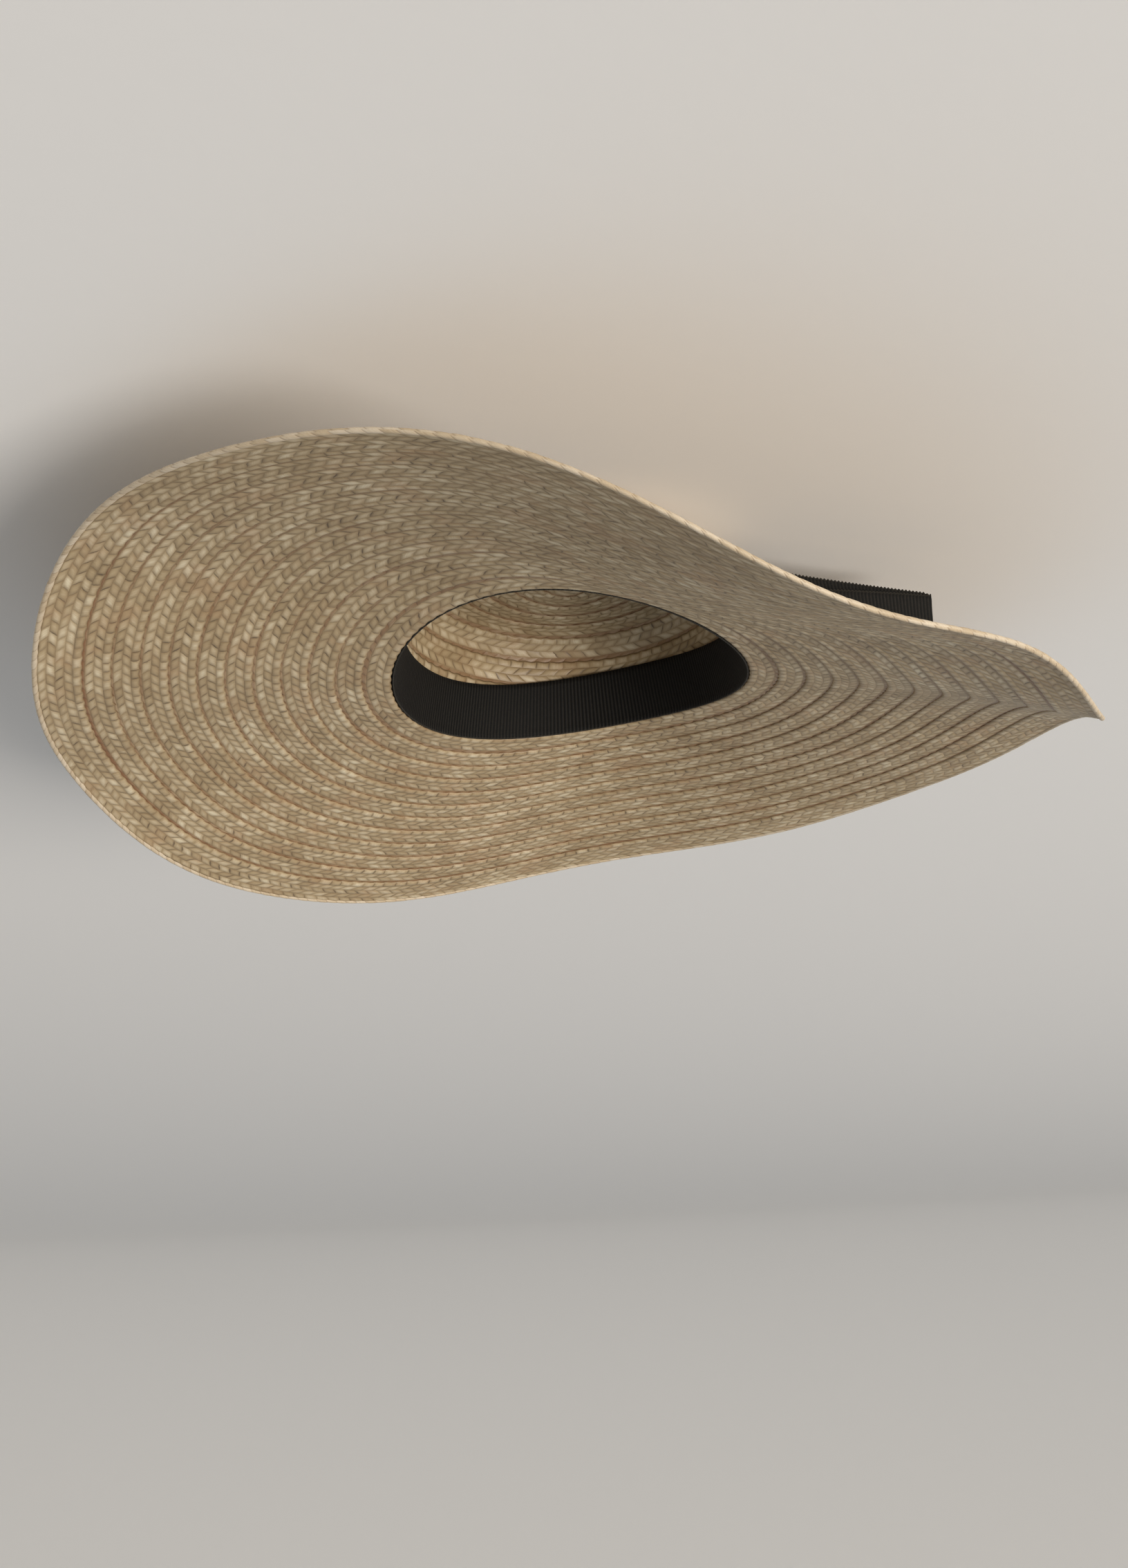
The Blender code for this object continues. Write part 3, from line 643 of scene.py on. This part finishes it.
def makeLoop():
    point, angle, lean, far = knotPlace()
    swing = math.radians(loop["swing"])
    heading = angle + swing
    along = np.array([math.cos(heading), math.sin(heading)])
    side = np.array([-along[1], along[0]])
    outwards = np.array([math.cos(angle), math.sin(angle)])
    root, fold = hat["ribbonThickness"], loop["spread"] * loop["foldShare"]
    start = point[:2] + (knot["depth"] / math.cos(lean) + hat["gap"]) * outwards
    straight = loop["length"] - fold
    share = np.linspace(0, 1, loop["straightSteps"])
    spread = root + (fold - root) * share + loop["spread"] / 4 * np.sin(math.pi * share)
    bend = np.radians(np.linspace(loop["foldFrom"], 180 - loop["foldFrom"], loop["foldSteps"]))
    front, back = loop["frontLifts"], loop["backLifts"]
    begins = [(math.sin(swing) * (v - root / 2) - lift * math.tan(lean)) / math.cos(swing)
              - loop["tuckIn"] for v, lift in ((root, front[0]), (-root, back[0]))]
    u = np.concatenate([begins[0] + share * (straight - begins[0]), straight + fold * np.sin(bend),
                        (begins[1] + share * (straight - begins[1]))[::-1]])
    v = np.concatenate([spread, fold * np.cos(bend), -spread[::-1]])
    lift = np.concatenate([front[0] + (front[1] - front[0]) * share,
                           front[1] + (back[1] - front[1]) * bend / math.pi,
                           (back[0] + (back[1] - back[0]) * share)[::-1]])
    tuck = np.concatenate([1 - share, np.zeros(loop["foldSteps"]), (1 - share)[::-1]])
    run = np.concatenate([[0], np.cumsum(np.hypot(np.diff(u), np.diff(v)))])
    even = np.linspace(0, run[-1], int(run[-1] * 1000) * loop["stepsPerMm"] + 1)
    u, v, lift, tuck = (np.interp(even, run, values) for values in (u, v, lift, tuck))
    plan = start + u[:, None] * along + v[:, None] * side
    forward = np.gradient(plan, axis=0)
    forward /= np.linalg.norm(forward, axis=1, keepdims=True)
    square = np.stack([-forward[:, 1], forward[:, 0]], 1)
    wave = np.cos(even * 2 * math.pi * 1000 / grosgrain["rib"])
    thick = hat["ribbonThickness"] / 2 * (1 - loop["ribDepth"] + loop["ribDepth"] * wave)
    edge = loop["scallop"] * wave
    n = loop["across"]
    steps = len(even)
    loops, table = [], []
    for sideSign in (1, -1):
        for share in (np.linspace(0, 1, n) if sideSign > 0 else np.linspace(1, 0, n)):
            body = thick * (loop["edgeShare"] if share in (0.0, 1.0) else 1.0)
            low = far - lift - edge * (1 if share == 0 else 0)
            height = low + hat["hatbandWidth"] * share + edge * (1 if share == 1 else 0)
            cup = loop["cup"] * math.sin(math.pi * share)
            inward = -math.tan(lean) * hat["hatbandWidth"] * (1 - share) * tuck
            loops.append(np.concatenate([plan + square * (sideSign * body - cup)[:, None]
                                         + inward[:, None] * outwards, height[:, None]], 1))
            table.append(share * grosgrain["width"])
    quads, s, k = closedGrid(2 * n, steps, closed=False)
    table = np.array(table)
    u0, u1 = even[k] * 1000, even[k + 1] * 1000
    v0, v1 = table[s], table[(s + 1) % (2 * n)]
    uvs = quadUvs(u0, u1, v0, v1).reshape(-1, 4, 2)
    quads = quads.reshape(-1, 4)
    caps = []  # close the two cut ends, at the knot
    for end in (0, steps - 1):
        for i in range(n - 1):
            face = [i * steps + end, (i + 1) * steps + end,
                    (2 * n - 2 - i) * steps + end, (2 * n - 1 - i) * steps + end]
            caps.append(face if end == 0 else face[::-1])
    quads = np.concatenate([quads, np.array(caps)])
    uvs = np.concatenate([uvs, np.zeros((len(caps), 4, 2))])
    return meshPiece("ribbon_loop", np.concatenate(loops), quads, uvs, ribbonMaterial,
                     ["bow_loop"])


def makeKnot():  # ribbon wrapped once round the loop's root, gathered into soft pleats
    point, angle, lean, _ = knotPlace()
    flat = np.array([math.cos(angle), math.sin(angle), 0.0])
    side = np.array([-math.sin(angle), math.cos(angle), 0.0])
    upright = np.array([0, 0, 1.0])
    out = flat * math.cos(lean) - upright * math.sin(lean)
    rise = flat * math.sin(lean) + upright * math.cos(lean)
    centre = point + out * knot["depth"] / 2 - rise * knot["height"] / 2
    rounds, rows = knot["around"], knot["rows"]
    theta = np.arange(rounds) * 2 * math.pi / rounds
    loops = []
    for row in range(rows + 1):
        w = -1 + 2 * row / rows
        full = max(1e-3, (1 - abs(w) ** 5) ** 0.2)
        pleat = (1 - knot["pleats"] * (0.5 + 0.5 * math.cos(w * 9.0 + 0.6))
                 - knot["creases"] * math.cos(w * 21))
        cosine, sine = np.cos(theta), np.sin(theta)
        waist = 1 - knot["waist"] * np.abs(cosine) ** 2
        x = np.sign(cosine) * np.abs(cosine) ** 0.55 * knot["depth"] / 2 * full * pleat
        z = np.sign(sine) * np.abs(sine) ** 0.45 * knot["height"] / 2
        z = z * (0.93 + 0.07 * full) * full ** 0.4
        y = w * knot["width"] / 2 * waist
        loops.append(centre + x[:, None] * out + np.broadcast_to(y, x.shape)[:, None] * side
                     + z[:, None] * rise)
    for end in (0, -1):  # gathered in at both ends
        loops[end] = loops[end] * 0.02 + loops[end].mean(0) * 0.98
    quads, s, k = closedGrid(rows + 1, rounds)
    keep = (s < rows).ravel()
    girth = 2 * (knot["height"] + knot["depth"]) * 1000 / rounds
    u0, u1 = k * girth, (k + 1) * girth
    v0, v1 = s * knot["rowMm"], (s + 1) * knot["rowMm"]
    uvs = quadUvs(u0, u1, v0, v1).reshape(-1, 4, 2)
    return meshPiece("ribbon_knot", np.concatenate(loops), quads.reshape(-1, 4)[keep], uvs[keep],
                     ribbonMaterial, ["bow_knot"])


makeLoop()
makeKnot()
print("ribbons made")

# studio: pale seamless floor that curves up all round, one big soft light, pale surroundings
studio = {"floorColour": "#F4F2EE", "floorRoughness": 0.9, "mottlePerMetre": 60.0,
          "flat": 6.4, "bend": 1.6, "high": 2.6, "turns": 96,
          "surround": "#E8EAED", "surroundPower": 0.39,
          "keyPlace": (-4.3, -3.9, 2.6), "keyAim": (0, 0, 0.08), "keySize": (3.2, 2.6),
          "keyPower": 345.0, "keyColour": "#FFF8F0"}


def makeSweep():
    path = [(studio["flat"], 0.0)]
    for angle in np.radians(np.linspace(5, 90, 18)):
        path.append((studio["flat"] + studio["bend"] * math.sin(angle),
                     studio["bend"] * (1 - math.cos(angle))))
    path.append((studio["flat"] + studio["bend"], studio["high"]))
    count = studio["turns"]
    turns = [2 * math.pi * i / count for i in range(count)]
    points = [(r * math.cos(turn), r * math.sin(turn), z) for r, z in path for turn in turns]
    points.append((0.0, 0.0, 0.0))
    faces = [(len(points) - 1, i, (i + 1) % count) for i in range(count)]
    faces += [(s * count + i, (s + 1) * count + i, (s + 1) * count + (i + 1) % count,
               s * count + (i + 1) % count) for s in range(len(path) - 1) for i in range(count)]
    mesh = bpy.data.meshes.new("sweep")
    mesh.from_pydata(points, [], faces)
    mesh.shade_smooth()
    material, tree, shader = newMaterial("paintedSweep")  # matt emulsion paint, faint roller mottle
    spot = addNode(tree, "TexCoord", None, (), 3)
    mottle = addNode(tree, "TexNoise", None,
                     {"Vector": spot, "Scale": studio["mottlePerMetre"], "Detail": 2.0})
    bump = addNode(tree, "Bump", None, {"Strength": 0.05, "Distance": 0.001, "Height": mottle})
    tree.links.new(bump, shader.inputs["Normal"])
    shader.inputs["Base Color"].default_value = srgb(studio["floorColour"])
    shader.inputs["Roughness"].default_value = studio["floorRoughness"]
    mesh.materials.append(material)
    sweep = bpy.data.objects.new("sweep", mesh)
    bpy.context.collection.objects.link(sweep)


def addSoftLight(name, place, aim, size, power, colour):
    data = bpy.data.lights.new(name, "AREA")
    data.shape, data.size, data.size_y = "RECTANGLE", size[0], size[1]
    data.energy, data.color = power, srgb(colour)[:3]
    lamp = bpy.data.objects.new(name, data)
    lamp.location = place
    lamp.visible_camera = False
    lamp.rotation_euler = (Vector(aim) - Vector(place)).to_track_quat("-Z", "Y").to_euler()
    bpy.context.collection.objects.link(lamp)


makeSweep()
addSoftLight("keyLight", studio["keyPlace"], studio["keyAim"], studio["keySize"],
             studio["keyPower"], studio["keyColour"])
world = bpy.context.scene.world or bpy.data.worlds.new("studio")
bpy.context.scene.world = world
world.use_nodes = True
background = world.node_tree.nodes["Background"]
background.inputs[0].default_value = srgb(studio["surround"])
background.inputs[1].default_value = studio["surroundPower"]
bpy.context.scene.view_settings.view_transform = "Standard"

# camera: turned by about 180 degrees so that the front of the brim is at the top of the picture
view = {"place": (-0.02198815, -0.76513972, 0.32646837), "focal": 2585.54, "tall": 2268,
        "right": (-0.9978765, 0.04820241, 0.04380653), "up": (-0.05553333, -0.27816315, -0.95892717),
        "back": (-0.03403724, -0.95932361, 0.28024931)}
lens = bpy.data.cameras.new("camera")
lens.sensor_width = 36.0
lens.lens = view["focal"] / view["tall"] * lens.sensor_width
lens.clip_start, lens.clip_end = 0.02, 50
camera = bpy.data.objects.new("camera", lens)
rows = [[view[axis][i] for axis in ("right", "up", "back")] for i in range(3)]
camera.matrix_world = Matrix.Translation(view["place"]) @ Matrix(rows).to_4x4()
bpy.context.collection.objects.link(camera)
bpy.context.scene.camera = camera
print("studio and camera set")
